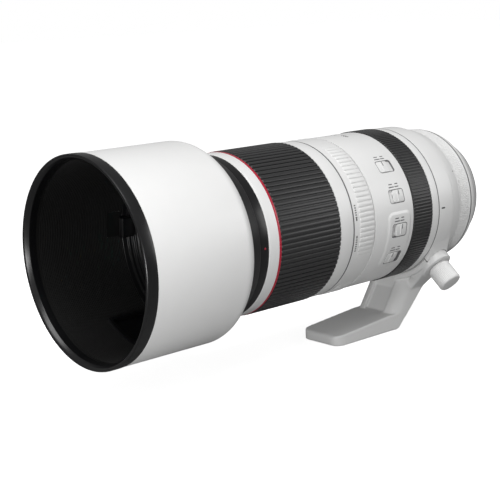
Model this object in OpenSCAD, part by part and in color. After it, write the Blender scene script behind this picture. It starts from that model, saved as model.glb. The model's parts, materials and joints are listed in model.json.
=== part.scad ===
// White telephoto zoom lens with hood, tripod collar and foot.
// Row frame: origin at the middle of the mount's contact face, -Y to the front of the lens,
// +Z up, +X to the side that carries the switches. Inside lens(), local z is the distance
// forward of the mount face, so every ring is a (radius, station) profile.

/* [Barrel] */
// Radius of the white outer barrel
barrel_r = 46.3; // [45.8:0.1:46.6]
// Station of the front end of the retracted lens
lens_length = 207.6; // [207:0.1:208.5]
// How far the front barrel comes out when zoomed in
zoom_travel = 83; // [70:1:83]
// Turn of the zoom ring from wide to long, in degrees
zoom_turn = 90; // [80:1:95]

/* [Grips] */
// Ribs around the zoom grip
zoom_ribs = 100; // [80:4:120]
// Ribs around the focus grip
focus_ribs = 150; // [120:6:170]
// Radius at the crest of a grip's ribs
grip_r = 46.85; // [46.6:0.05:46.9]

/* [Mount] */
// Radius of the bayonet's throat
throat_r = 22.5; // [22:0.1:22.5]
// Inner radius of the contact face
flange_in_r = 27.2; // [27:0.1:27.4]
// Outer radius of the contact face
flange_out_r = 32.8; // [32:0.1:33]

/* [Hood] */
// Radius of the hood's front rim
hood_r = 56.4; // [56:0.1:56.8]
// Station of the hood's front face
hood_front = 278.2; // [276:0.1:280]
// Station of the hood's rear end
hood_rear = 196.7; // [196.7:0.1:197]

/* [Foot] */
// Distance from the optical axis to the underside of the foot
foot_drop = 79.5; // [78.5:0.1:81]
// Half width of the foot
foot_half_w = 16; // [15:0.5:16]
// Thickness of the foot's plate
foot_plate = 6.5; // [6.3:0.1:7]

/* [Front thread] */
// Radius of the wall of the front filter thread
filter_r = 38.1; // [37.9:0.1:38.1]

/* [Hidden] */
$fn = 128;

// Colours
white_paint = "#e9e8e4";
black_paint = "#1b1b1c";
rubber = "#2b2b2c";
steel = "#c8c9cb";
inner_black = "#101011";
coated_glass = "#5a7a78";

// Stations along the axis, from the mount to the front
control_s = [15.3, 27.4];
plain_ring_s = 27.7;
collar_s = [36.5, 50.6];
rear_seam_s = 50.9;
focus_s = [57.3, 73.9];
torque_s = [107.7, 125.2];
zoom_band_s = 125.5;
zoom_s = [135.8, 181.5];
red_s = [181.9, 183.0];
name_end_s = 189.9;
front_seat_s = 196.4;
rib_s = [108.6, 120];

// Radii of the nested tubes, from the outside in
barrel_in_r = 45.1;
sleeve_in_r = 43.9;
sleeve_out_r = 44.8;
sleeve_thin_r = [43.8, 44.3];
tube_r = [42.4, 43.5];
cam_r = [40.9, 42];
guide_r = [39.5, 40.6];
collar_seat_r = 44.2;
collar_in_r = 44.5;
core_r = 44.4;

// Followers and slots
follower_r = 1.5;
follower_s = 93;
slot_play = 0.3;
follower_angles = [0, 120, 240];
variator_angles = [60, 180, 300];
variator_travel = 40;
cam_rear_s = 84;

// Switches: angle of each one, their station and size
switch_s = 87;
switch_window = [12.6, 8.2];
switch_angles = [50, 73.6, 98.5, 121];
slider_size = [8.4, 6.2];
slider_offset = [1.5, -1.5, -1.5, 1.5];
panel_s = [76.6, 96.8];
panel_angles = [85, 129];

// Foot and lock knob
knob_dir = 131;
knob_offset = 6.1;
knob_s = 39.6;
knob_end = 66.3;
knob_hole_r = 2.5;
boss_r = 10;
boss_top = 52.2;
split_angle = 134;
split_gap = 0.4;
foot_s = [54, 110];
stem_front = [62.3, -70.6];
stem_top = [52.1, -55];
saddle_s = [31, 50.3];
saddle_r = [46.5, 50];

// Iris
blade_count = 9;
blade_pivot_r = 33;
blade_s0 = 76.4;
blade_step = 0.45;
blade_t = 0.25;
blade_turn = 33;
iris_turn = 30;
drive_pin = [4, -0.2];
drive_pin_r = 0.5;
iris_ring_s = [81, 82.6];

// Moves a shape drawn along the optical axis into the row frame
module lens() {
    rotate([90, 0, 0]) children();
}

// Turns a shape that points along local +Y to an angle measured from the top towards +X
module at(angle) {
    rotate([0, 0, -angle]) children();
}

// Ring from a profile of (radius, station) points
module turned(profile) {
    rotate_extrude() polygon(profile);
}

// Plain tube between two stations
module tube(s, r_in, r_out) {
    turned([[r_in, s[0]], [r_out, s[0]], [r_out, s[1]], [r_in, s[1]]]);
}

// Part of a tube between two angles
module sector(s, r_in, r_out, a0, a1) {
    rotate_extrude(angle = a1 - a0, start = 90 - a1)
        polygon([[r_in, s[0]], [r_out, s[0]], [r_out, s[1]], [r_in, s[1]]]);
}

// Round bar that points outwards at an angle
module radial_bar(angle, s, r0, r1, r) {
    at(angle) translate([0, r0, s]) rotate([-90, 0, 0]) cylinder(h = r1 - r0, r = r, $fn = 48);
}

// Frame of the lock knob: local +Z runs outwards along its screw, which passes beside the axis
module knob_frame() {
    lens() at(knob_dir) translate([knob_offset, 0, knob_s]) rotate([-90, 0, 0]) children();
}

// Points along an arc in the profile plane
function arc(cx, cy, r, a0, a1, n = 8) =
    [for (i = [0 : n]) [cx + r * cos(a0 + (a1 - a0) * i / n), cy + r * sin(a0 + (a1 - a0) * i / n)]];

// Outline of a ribbed ring: flat crests and flat valleys, each half a pitch wide
function ribs(count, r_crest, r_valley) =
    [for (i = [0 : count - 1]) for (k = [0 : 3])
        let (a = (i + [0, 0.48, 0.56, 0.92][k]) * 360 / count, r = k < 2 ? r_crest : r_valley)
            [r * cos(a), r * sin(a)]];

// Ribbed rubber sleeve between two stations
module ribbed_grip(s, r_in, r_valley, r_crest, count) {
    difference() {
        union() {
            tube(s, r_in - 1, r_valley);
            translate([0, 0, s[0] + 0.6])
                linear_extrude(height = s[1] - s[0] - 1.2) polygon(ribs(count, r_crest, r_valley));
        }
        translate([0, 0, s[0] - 1]) cylinder(h = s[1] - s[0] + 2, r = r_in);
    }
}

// Lens element: two spherical faces of given bulge over a cylindrical edge
module element(r, s0, s1, bulge0, bulge1) {
    function ball(b) = (r * r + b * b) / (2 * b);
    r0 = ball(bulge0);
    r1 = ball(bulge1);
    a0 = asin(r / r0);
    a1 = asin(r / r1);
    rear = [for (i = [0 : 8]) [r0 * sin(a0 * i / 8), s0 + bulge0 - (bulge0 - r0 + r0 * cos(a0 * i / 8))]];
    front = [for (i = [0 : 8]) [r1 * sin(a1 * i / 8), s1 - bulge1 + (bulge1 - r1 + r1 * cos(a1 * i / 8))]];
    turned(concat([for (p = rear) [p[0], p[1]]], [for (i = [8 : -1 : 0]) front[i]]));
}

// Black cell that carries an element
module cell(s, r_in, r_out, lip) {
    turned([[r_in - lip, s[0]], [r_out, s[0]], [r_out, s[1]], [r_in, s[1]], [r_in, s[0] + 1],
        [r_in - lip, s[0] + 1]]);
}

module mount_ring() {
    color(steel) lens() difference() {
        union() {
            turned([[throat_r, -5], [24.6, -5], [24.6, 1], [flange_in_r, 1], [flange_in_r, 0],
                [flange_out_r, 0], [flange_out_r, 2.5], [throat_r, 2.5]]);
            for (a = [0, 120, 240]) sector([-5, -3.4], 24, 26.9, a - 26, a + 26);
        }
        for (a = [45 : 90 : 315]) at(a) translate([0, 30, 0]) {
            translate([0, 0, -1]) cylinder(h = 4, r = 1, $fn = 32);
            translate([0, 0, -1]) cylinder(h = 2.4, r = 2, $fn = 32);
        }
        at(-97) translate([0, 30, -1]) cylinder(h = 2.4, r = 1.3, $fn = 32);
    }
}

module mount_screws() {
    color(steel) lens() for (a = [45 : 90 : 315]) at(a) translate([0, 30, 0]) difference() {
        union() {
            translate([0, 0, 0.2]) cylinder(h = 1.2, r = 1.9, $fn = 32);
            translate([0, 0, 1.3]) cylinder(h = 4.9, r = 0.95, $fn = 32);
        }
        for (turn = [0, 90]) rotate([0, 0, turn]) translate([-1.2, -0.25, 0]) cube([2.4, 0.5, 0.8]);
    }
}

module mount_gasket() {
    color(rubber) lens()
        turned([[33, 0.2], [35, 0.2], [35.3, 0.6], [35.3, 1.1], [33.8, 1.1], [33.8, 2.3], [33, 2.3]]);
}

module contact_block() {
    color(inner_black) lens() sector([-4.6, 3], 19.4, throat_r, 148, 212);
}

module contact_pins() {
    color("#c9a24a") lens() for (i = [0 : 11])
        at(152.5 + 5 * i) translate([0, 20.9, -5]) cylinder(h = 0.4, r = 0.65, $fn = 24);
}

module rear_baffle() {
    color(inner_black) lens() difference() {
        translate([0, 0, 3.2]) cylinder(h = 1.2, r = 27);
        translate([-18, -14, 3]) cube([36, 28, 1.6]);
    }
}

module rear_housing() {
    color(white_paint) lens() difference() {
        turned(concat([[27.3, 2.5], [33.8, 2.5], [33.8, 1.3], [35.5, 1.2]],
            arc(32.6, 15.2, 9.7, -52, -8, 8),
            [[42.3, control_s[0] - 0.3], [38.6, control_s[0] - 0.3], [38.6, plain_ring_s],
             [43.5, plain_ring_s], [45, 33.2], [45.5, 36.2], [collar_seat_r, 36.2],
             [collar_seat_r, rear_seam_s], [42.6, rear_seam_s], [42.6, 28.9], [36.9, 28.9],
             [36.9, 6.5], [27.3, 6.5]]));
        for (a = [45 : 90 : 315]) at(a) translate([0, 30, 2]) cylinder(h = 5, r = 1, $fn = 32);
    }
}

module main_barrel() {
    color(white_paint) lens() difference() {
        union() {
            turned([[43, rear_seam_s], [46.1, rear_seam_s], [46.45, rear_seam_s + 0.4],
                [46.45, focus_s[0] - 0.3], [core_r, focus_s[0] - 0.3], [core_r, focus_s[1] + 0.3],
                [barrel_r, focus_s[1] + 0.3], [barrel_r, torque_s[0] - 0.4],
                [barrel_in_r, torque_s[0] - 0.4], [barrel_in_r, 76.4], [43, 76.4]]);
            sector(panel_s, barrel_in_r, barrel_r + 0.35, panel_angles[0], panel_angles[1]);
        }
        for (a = switch_angles) at(a)
            translate([-switch_window[1] / 2, barrel_in_r - 2, switch_s - switch_window[0] / 2])
                cube([switch_window[1], 6, switch_window[0]]);
        for (a = follower_angles) radial_bar(a + 20, 60.2, 42, 45, 0.9);
    }
}

module guide_barrel() {
    slot = follower_r + 0.1;
    color(steel) lens() difference() {
        union() {
            tube([58, 182], guide_r[0], guide_r[1]);
            tube([58, 62.4], guide_r[0], 43);
        }
        for (a = follower_angles) at(a)
            translate([-slot, guide_r[0] - 1, follower_s - 2])
                cube([2 * slot, 3, zoom_travel + 4]);
        for (a = variator_angles) at(a)
            translate([-slot, guide_r[0] - 1, follower_s - 2])
                cube([2 * slot, 3, variator_travel + 4]);
        for (a = follower_angles) radial_bar(a + 20, 60.2, 41.5, 45, 0.9);
    }
}

module main_board() {
    color("#1d5b3a") lens() difference() {
        union() {
            tube([33.5, 34.7], 24, 42.4);
            for (a = [-150 : 30 : 150]) sector([34.7, 36], 33, 40, a - 7, a + 7);
        }
        for (a = [90, 270]) at(a) translate([-11, 30, 33]) cube([22, 14, 4]);
    }
}

module focus_motors() {
    color("#8f8f94") lens() for (a = [90, 270]) {
        sector([29.3, 56.5], 34.5, 41.9, a - 6.5, a + 6.5);
        at(a) for (x = [-1, 1]) translate([9 * x, 31.2, 30]) cylinder(h = 26, r = 1, $fn = 32);
        sector([29.3, 30], 29.7, 42.6, a - 22, a + 22);
    }
}

module iris_housing() {
    color(inner_black) lens() difference() {
        union() {
            tube([74, 76], 23, guide_r[0]);
            tube([76, 83.6], 38.2, guide_r[0]);
        }
        for (i = [0 : blade_count - 1]) at(i * 360 / blade_count)
            translate([0, blade_pivot_r, 73]) cylinder(h = 4, r = 0.76, $fn = 24);
    }
}

module is_base() {
    color(inner_black) lens() {
        tube([62.6, 64.2], 28, guide_r[0]);
        for (a = [45 : 90 : 315]) sector([64.2, 70], 38, guide_r[0], a - 12, a + 12);
    }
}

module is_carriage() {
    color("#3a3a3d") lens() difference() {
        tube([64.6, 65.8], 27.5, 36.4);
        for (a = [45 : 90 : 315]) at(a) translate([0, 33.5, 64]) cylinder(h = 3, r = 1.4, $fn = 24);
    }
}

module is_cell() {
    color(inner_black) lens() {
        cell([66.2, 72.6], 24, 27, 1);
        tube([66.2, 67.4], 26.5, 34.5);
    }
}

module is_lens() {
    color(coated_glass) lens() element(24, 67.3, 72.2, 0.9, 1.6);
}

module rear_cell() {
    color(inner_black) lens() {
        cell([22, 28.6], 19, 27, 1);
        tube([27, 28.6], 26, 36.9);
    }
}

module rear_lens() {
    color(coated_glass) lens() element(19, 23.1, 28.2, 0.9, 1.4);
}

module zoom_sleeve() {
    color(white_paint) lens() turned([[cam_r[1], cam_rear_s], [sleeve_thin_r[1], cam_rear_s],
        [sleeve_thin_r[1], torque_s[0]], [sleeve_out_r, torque_s[0]],
        [sleeve_out_r, zoom_band_s], [46.1, zoom_band_s], [46.4, zoom_band_s + 0.3],
        [46.4, zoom_s[0]], [sleeve_out_r, zoom_s[0]], [sleeve_out_r, zoom_s[1]],
        [sleeve_in_r, zoom_s[1]], [sleeve_in_r, 106], [sleeve_thin_r[0], 106],
        [sleeve_thin_r[0], cam_rear_s + 2.5], [cam_r[1], cam_rear_s + 2.5]]);
}

module zoom_grip() {
    color(rubber) lens() ribbed_grip(zoom_s, sleeve_out_r, grip_r - 0.65, grip_r, zoom_ribs);
}

// Helical slots that turn the cam barrel's rotation into travel along the axis
module cam_slots(angles, travel) {
    play = follower_r + slot_play;
    swing = cam_r[1] * zoom_turn * PI / 180;
    slot_w = 2 * play / cos(atan(swing / travel));
    for (a = angles) {
        at(a) translate([0, 0, follower_s])
            linear_extrude(height = travel, twist = zoom_turn, slices = 40, $fn = 8)
                translate([-slot_w / 2, cam_r[0] - 1]) square([slot_w, 3]);
        for (end = [0, 1])
            radial_bar(a + end * zoom_turn, follower_s + end * travel, cam_r[0] - 1, cam_r[1] + 1, play);
    }
}

module cam_barrel() {
    color(steel) lens() difference() {
        tube([cam_rear_s, 181], cam_r[0], cam_r[1]);
        cam_slots(follower_angles, zoom_travel);
        cam_slots(variator_angles, variator_travel);
    }
}

module front_tube() {
    color(white_paint) lens() difference() {
        tube([89, name_end_s], tube_r[0], tube_r[1]);
        for (a = follower_angles) radial_bar(a, follower_s, tube_r[0] - 1, tube_r[1] + 1, follower_r);
    }
}

module cam_followers() {
    color("#c9a24a") lens() for (a = follower_angles)
        radial_bar(a, follower_s, guide_r[0] + 0.2, tube_r[1] - 0.1, follower_r);
}

module name_ring() {
    color(white_paint) lens() turned([[tube_r[1], red_s[1]], [46.4, red_s[1]],
        [45.9, name_end_s - 0.3], [45.7, name_end_s], [tube_r[1], name_end_s]]);
}

module red_ring() {
    color("#b3122a") lens() tube(red_s, tube_r[1], 46.55);
}

module front_ring() {
    color(black_paint) lens() {
        difference() {
            turned([[39.1, name_end_s], [45.6, name_end_s], [45.9, name_end_s + 0.3],
                [45.9, front_seat_s], [44.6, front_seat_s], [44.6, lens_length - 0.4],
                [44.2, lens_length], [filter_r + 0.4, lens_length], [filter_r, lens_length - 0.4],
                [filter_r, 203], [39.1, 203]]);
            at(90.5) translate([0, 45.5, 192.9]) rotate([-90, 0, 0]) cylinder(h = 1, r = 0.9, $fn = 32);
        }
        for (a = [60, 180, 300]) sector([200, 202], 44.3, 45.9, a - 20, a + 20);
    }
}

module front_cell() {
    color(inner_black) lens() cell([186, 202.6], 36, 39.1, 1.5);
}

module front_elements() {
    color(coated_glass) lens() {
        element(36, 187.1, 193.4, 1.5, 0.6);
        element(36, 193.6, 202.4, 0.6, 2.6);
    }
}

module variator_cell() {
    color(inner_black) lens() {
        cell([90, 97.5], 26, 39.2, 1);
        for (a = variator_angles) radial_bar(a, follower_s, 38.5, cam_r[1] - 0.2, follower_r);
    }
}

module variator_lens() {
    color(coated_glass) lens() element(26, 91.1, 97, 1, 1);
}

module focus_cell() {
    color(inner_black) lens() {
        cell([38, 44], 22, 28.4, 1);
        for (a = [90, 270]) difference() {
            sector([39, 43], 28, 33.4, a - 24, a + 24);
            at(a) for (x = [-1, 1]) translate([9 * x, 31.2, 38]) cylinder(h = 6, r = 1.06, $fn = 32);
        }
    }
}

module focus_lens() {
    color(coated_glass) lens() element(22, 39.1, 43.7, 0.8, 1.2);
}

module focus_sleeve() {
    color(inner_black) lens() tube(focus_s, core_r + 0.35, 45.4);
}

module focus_grip() {
    color(rubber) lens() ribbed_grip(focus_s, 45.4, grip_r - 0.45, grip_r, focus_ribs);
}

module control_ring() {
    mid = (control_s[0] + control_s[1]) / 2;
    color(white_paint) lens() difference() {
        turned([[38.9, control_s[0]], [42, control_s[0]], [42.4, control_s[0] + 0.4],
            [43, control_s[1] - 0.4], [42.7, control_s[1]], [38.9, control_s[1]]]);
        tube([control_s[0] + 0.9, control_s[0] + 1.3], 42.15, 44);
        tube([control_s[1] - 1.3, control_s[1] - 0.9], 42.6, 44);
        for (a = [0 : 4 : 356]) at(a) translate([0, 43.25, mid]) rotate([-1.6, 0, 0])
            rotate([0, 0, 45]) cube([0.9, 0.9, control_s[1] - control_s[0] - 2.8], center = true);
    }
}

module torque_ring() {
    color(white_paint) lens() {
        turned([[sleeve_out_r + 0.35, torque_s[0]], [46.1, torque_s[0]], [barrel_r, torque_s[0] + 0.3],
            [barrel_r, torque_s[1] - 0.3], [46.1, torque_s[1]], [sleeve_out_r + 0.35, torque_s[1]]]);
        for (patch = [67.5, 187.5, 307.5]) for (i = [-11 : 11])
            sector(rib_s, barrel_r - 0.2, barrel_r + 0.4, patch + 4 * i - 1.2, patch + 4 * i + 1.2);
    }
}

// Switch slider: a thin foot behind the barrel wall and a button in the window
module slider(index) {
    s = switch_s + slider_offset[index];
    top = barrel_r + (index > 1 ? 0.55 : 0.3);
    half_turn = slider_size[1] / 2 / barrel_r * 57.3;
    color(white_paint) lens() {
        sector([s - 5.3, s + 5.3], 44.55, barrel_in_r - 0.08, switch_angles[index] - half_turn - 1.6,
            switch_angles[index] + half_turn + 1.6);
        sector([s - slider_size[0] / 2, s + slider_size[0] / 2], barrel_in_r - 0.2, top,
            switch_angles[index] - half_turn, switch_angles[index] + half_turn);
        sector([s - 0.6, s + 0.6], top - 0.1, top + 0.35, switch_angles[index] - half_turn,
            switch_angles[index] + half_turn);
    }
}

module limiter_switch() {
    slider(0);
}

module focus_mode_switch() {
    slider(1);
}

module stabiliser_switch() {
    slider(2);
}

module stabiliser_mode_switch() {
    slider(3);
}

// Lug of the collar ring, which flares up to the clamp boss on the foot and stops at the split
module collar_lug() {
    hull() {
        sector([collar_s[0] + 0.4, saddle_s[1]], collar_in_r + 0.2, 46.2, 107, 109);
        sector(saddle_s, 45.6, saddle_r[1] - 0.3, split_angle - 1.2, split_angle - split_gap);
    }
}

module collar_ring() {
    color(white_paint) difference() {
        lens() {
            turned([[collar_in_r, collar_s[0]], [45.7, collar_s[0]], [46.2, collar_s[0] + 0.5],
                [46.2, collar_s[1] - 0.3], [45.9, collar_s[1]], [collar_in_r, collar_s[1]]]);
            collar_lug();
        }
        lens() cylinder(h = collar_s[0], r = 46.5);
        lens() translate([0, 0, collar_s[0] - 1]) cylinder(h = 20, r = collar_in_r);
        knob_frame() translate([0, 0, 46.25]) cylinder(h = 20, r = boss_r + 0.5);
        knob_frame() translate([0, 0, 42]) cylinder(h = 10, r = knob_hole_r + 0.05, $fn = 48);
    }
}

// Height of the plate's sloping top at a station
function plate_top(s) = -foot_drop + foot_plate + 0.08 * (foot_s[1] - s);

// Side outline of the foot, as (station, height) points: sole, rear edge, front face, plate top
function foot_outline() = concat(
    arc(foot_s[0] + 2.5, -foot_drop + 4.5, 4.5, 270, 222, 5),
    [[30.5, -56], [31, -42], [stem_front[0] + 1, -42], stem_top + [1, 0],
        [stem_front[0] + 0.1, plate_top(stem_front[0])]],
    arc(foot_s[1] - 2.5, plate_top(foot_s[1]) - 2.5, 2.5, 80, 0, 4),
    arc(foot_s[1] - 1.2, -foot_drop + 1.2, 1.2, 0, -90, 3));

// Plan of the foot's plate
module foot_plan() {
    r = 6.5;
    hull() {
        for (x = [-1, 1]) {
            translate([x * (foot_half_w - 3), foot_s[0] - 5]) circle(r = 3, $fn = 32);
            translate([x * (foot_half_w - r - 0.4), foot_s[1] - r]) circle(r = r, $fn = 48);
        }
    }
}

// Section of the stem: its front edge lies on y = 0 and its front corners are round
module stem_section() {
    r = 8;
    depth = 60;
    translate([-foot_half_w, -depth]) square([2 * foot_half_w, depth - r]);
    translate([r - foot_half_w, -r - 1]) square([2 * (foot_half_w - r), r + 1]);
    for (x = [-1, 1]) translate([x * (foot_half_w - r), -r]) circle(r = r);
}

// Everything inside the foot's plan: the plate, the leaning stem and its upright top
module foot_space() {
    lean = atan2(stem_front[0] - stem_top[0], stem_top[1] - stem_front[1]);
    translate([0, 0, -foot_drop - 1]) rotate([0, 0, 180])
        linear_extrude(height = plate_top(stem_front[0]) + foot_drop + 1) foot_plan();
    translate([0, -stem_front[0], stem_front[1]]) rotate([-lean, 0, 0]) rotate([0, 0, 180])
        translate([0, 0, -15]) linear_extrude(height = 60) stem_section();
    translate([0, -stem_top[0], stem_top[1]]) rotate([0, 0, 180])
        linear_extrude(height = 14) stem_section();
}

// Gusset from the stem's side up to the clamp boss
module boss_gusset() {
    hull() {
        translate([foot_half_w - 4, -43, -56]) cube([4, 12, 3]);
        knob_frame() translate([0, 0, boss_top - 4]) cylinder(h = 3, r = boss_r - 0.5, $fn = 32);
    }
}

module tripod_foot() {
    pocket = 8;
    depth = 3.2;
    color(white_paint) difference() {
        union() {
            intersection() {
                translate([-foot_half_w, 0, 0]) rotate([90, 0, 90]) mirror([1, 0, 0])
                    linear_extrude(height = 2 * foot_half_w) polygon(foot_outline());
                foot_space();
            }
            lens() sector(saddle_s, saddle_r[0], saddle_r[1], split_angle, 360 - split_angle);
            knob_frame() translate([0, 0, 44]) cylinder(h = boss_top - 44, r = boss_r);
            boss_gusset();
        }
        lens() translate([0, 0, 20]) cylinder(h = 60, r = saddle_r[0]);
        knob_frame() translate([0, 0, 40]) cylinder(h = 20, r = knob_hole_r + 0.05, $fn = 48);
        translate([-pocket, 0, 0]) rotate([90, 0, 90]) mirror([1, 0, 0])
            linear_extrude(height = 2 * pocket) polygon([[80, -44], [stem_top[0] - depth, -44],
                stem_top - [depth, 0], [stem_front[0] - depth - 0.6, plate_top(stem_front[0]) + 0.4],
                [80, plate_top(80) + 0.1]]);
        translate([0, -82, -foot_drop - 1]) cylinder(h = 6.2, r = 5.04, $fn = 48);
    }
}

module foot_bushing() {
    color(steel) translate([0, -82, -foot_drop]) difference() {
        cylinder(h = 5.2, r = 5, $fn = 48);
        translate([0, 0, -1]) cylinder(h = 5.7, r = 3.175, $fn = 48);
    }
}

module lock_knob() {
    grooves = 48;
    base = boss_top + 0.4;
    end = knob_end - base;
    color(white_paint) knob_frame() {
        translate([0, 0, 45]) cylinder(h = base - 44.9, r = knob_hole_r, $fn = 48);
        translate([0, 0, base]) {
            rotate_extrude() polygon([[0, 0], [6.3, 0], [6.3, 0.5], [6.7, 0.8], [7.1, 1.1], [7.1, 2],
                [0, 2]]);
            translate([0, 0, 1.9]) linear_extrude(height = end - 2.9)
                polygon(ribs(grooves, 7.3, 7.1));
            rotate_extrude() polygon([[0, end - 1.1], [7.1, end - 1.1], [7, end - 0.5],
                [6.6, end], [0, end]]);
        }
    }
}

module hood_shell() {
    color(white_paint) lens() difference() {
        turned(concat([[48.6, 203.4]], arc(47.2, 213.9, 8.9, -70, 0, 10),
            [[hood_r - 0.2, 271.3], [55.2, 271.3], [55.2, 216], [54.9, 213], [53.6, 210], [51, 207.2],
             [48.6, 206.2]]));
        sector([217.5, 240.5], 54, 58, 181, 215);
        at(-84) translate([-6.3, 50, 215]) cube([12.6, 10, 10]);
    }
}

module hood_rim() {
    color(black_paint) lens() turned([[53.2, 271.4], [hood_r - 0.1, 271.4], [hood_r, 271.8],
        [hood_r, hood_front - 1], [hood_r - 0.6, hood_front], [54.6, hood_front],
        [53.2, hood_front - 2.2]]);
}

module hood_liner() {
    color(inner_black) lens() difference() {
        turned([[53.2, 214.5], [54, 214.5], [54, 269], [55.1, 269], [55.1, 271.3], [53.2, 271.3]]);
        sector([217.5, 240.5], 52, 55, 181, 215);
        at(-84) translate([-6.3, 50, 215]) cube([12.6, 10, 10]);
    }
}

module hood_collar() {
    color(black_paint) lens() difference() {
        union() {
            turned([[45, hood_rear], [47, hood_rear], [48.1, 203.3], [48.5, 203.5], [48.5, 206.3],
                [50.8, 207.4], [53.3, 210.2], [54.2, 214.4], [52.9, 214.4], [51.6, 211], [49.4, 208.6],
                [47, 207.4], [45, 207.4], [45, 202.4], [46.3, 202.4], [46.3, 199.7], [45, 199.7]]);
            sector([207.7, 226], 47.5, 50.2, -93, -75);
        }
        at(-84) translate([-6.3, 51.4, 215]) cube([12.6, 10, 10]);
    }
}

module hood_button() {
    color(black_paint) lens() at(-84) {
        translate([-6, 52.4, 215.3]) cube([12, 4.4, 9.4]);
        for (i = [0 : 3]) translate([-4.5, 56.7, 216.6 + 2 * i]) cube([9, 0.5, 0.8]);
    }
}

module hood_door() {
    color(black_paint) lens() {
        sector([215.6, 242.4], 54.3, 54.9, 178, 218);
        sector([219, 239], 54.8, 56, 211.4, 214.4);
    }
}

// Point turned clockwise about the axis, as angles from the top run
function turn(p, a) = [p[0] * cos(a) + p[1] * sin(a), p[1] * cos(a) - p[0] * sin(a)];

// Where a blade's drive pin is in the iris ring's own frame, from open (0) to stopped down (1)
function drive_path(t) =
    turn([0, blade_pivot_r] + turn(drive_pin, blade_turn * t), iris_turn * t);

// Points of a cam slot's round end; a negative reach makes the end that faces back
function slot_end(center, reach) =
    let (out = center / norm(center), along = [out[1], -out[0]])
    [for (a = [30 : 30 : 150]) center + (out * cos(a) + along * sin(a)) * reach];

// One cam slot of the iris ring, which follows the drive pin with play all round
module iris_slot() {
    half = drive_pin_r + slot_play;
    steps = 10;
    path = [for (i = [0 : steps]) drive_path(i / steps)];
    outer = [for (p = path) p * (1 + half / norm(p))];
    inner = [for (i = [steps : -1 : 0]) path[i] * (1 - half / norm(path[i]))];
    polygon(concat(outer, slot_end(path[steps], half), inner, slot_end(path[0], -half)));
}

module iris_ring() {
    color("#4a4a4d") lens() translate([0, 0, iris_ring_s[0]])
        linear_extrude(height = iris_ring_s[1] - iris_ring_s[0]) difference() {
            circle(r = 37.9);
            circle(r = 28.6);
            for (i = [0 : blade_count - 1]) at(i * 360 / blade_count) iris_slot();
        }
}

// Crescent blade with a pivot pin behind it and a drive pin in front of it; each blade sits
// one step further forward than the last
module iris_blade(index) {
    s = blade_s0 + blade_step * index;
    color("#2a2a2c") lens() at(index * 360 / blade_count) {
        sector([s, s + blade_t], 24, 30, 0, 56);
        translate([0, 0, s]) linear_extrude(height = blade_t) difference() {
            translate([-1.6, 26]) square([6.8, 8]);
            circle(r = 24.5);
        }
        translate([0, blade_pivot_r, s]) cylinder(h = blade_t, r = 1.8, $fn = 32);
        translate([drive_pin[0], blade_pivot_r + drive_pin[1], s])
            cylinder(h = iris_ring_s[1] - 0.3 - s, r = drive_pin_r, $fn = 24);
        translate([0, blade_pivot_r, 74.4]) cylinder(h = s - 74.3, r = 0.7, $fn = 24);
    }
}

module iris_blade_1() { iris_blade(0); }
module iris_blade_2() { iris_blade(1); }
module iris_blade_3() { iris_blade(2); }
module iris_blade_4() { iris_blade(3); }
module iris_blade_5() { iris_blade(4); }
module iris_blade_6() { iris_blade(5); }
module iris_blade_7() { iris_blade(6); }
module iris_blade_8() { iris_blade(7); }
module iris_blade_9() { iris_blade(8); }

mount_ring();
mount_screws();
mount_gasket();
contact_block();
contact_pins();
rear_baffle();
rear_housing();
main_barrel();
guide_barrel();
main_board();
focus_motors();
iris_housing();
is_base();
rear_cell();
rear_lens();
zoom_sleeve();
zoom_grip();
cam_barrel();
front_tube();
name_ring();
red_ring();
front_ring();
front_cell();
front_elements();
cam_followers();
variator_cell();
variator_lens();
focus_cell();
focus_lens();
focus_sleeve();
focus_grip();
control_ring();
torque_ring();
limiter_switch();
focus_mode_switch();
stabiliser_switch();
stabiliser_mode_switch();
collar_ring();
tripod_foot();
foot_bushing();
lock_knob();
hood_shell();
hood_rim();
hood_liner();
hood_collar();
hood_button();
hood_door();
iris_ring();
iris_blade_1();
iris_blade_2();
iris_blade_3();
iris_blade_4();
iris_blade_5();
iris_blade_6();
iris_blade_7();
iris_blade_8();
iris_blade_9();
is_carriage();
is_cell();
is_lens();
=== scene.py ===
"""Looks of the white telephoto zoom lens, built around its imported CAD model.

Lengths in this file are millimetres until MM turns them into Blender's metres. A ring is a list of
(radius, station) points, where the station is the distance forward of the mount's contact face.
Angles go round the optical axis from the top towards the switch side.
"""
import json
import math

import bmesh
import bpy
from mathutils import Matrix, Vector


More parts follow.
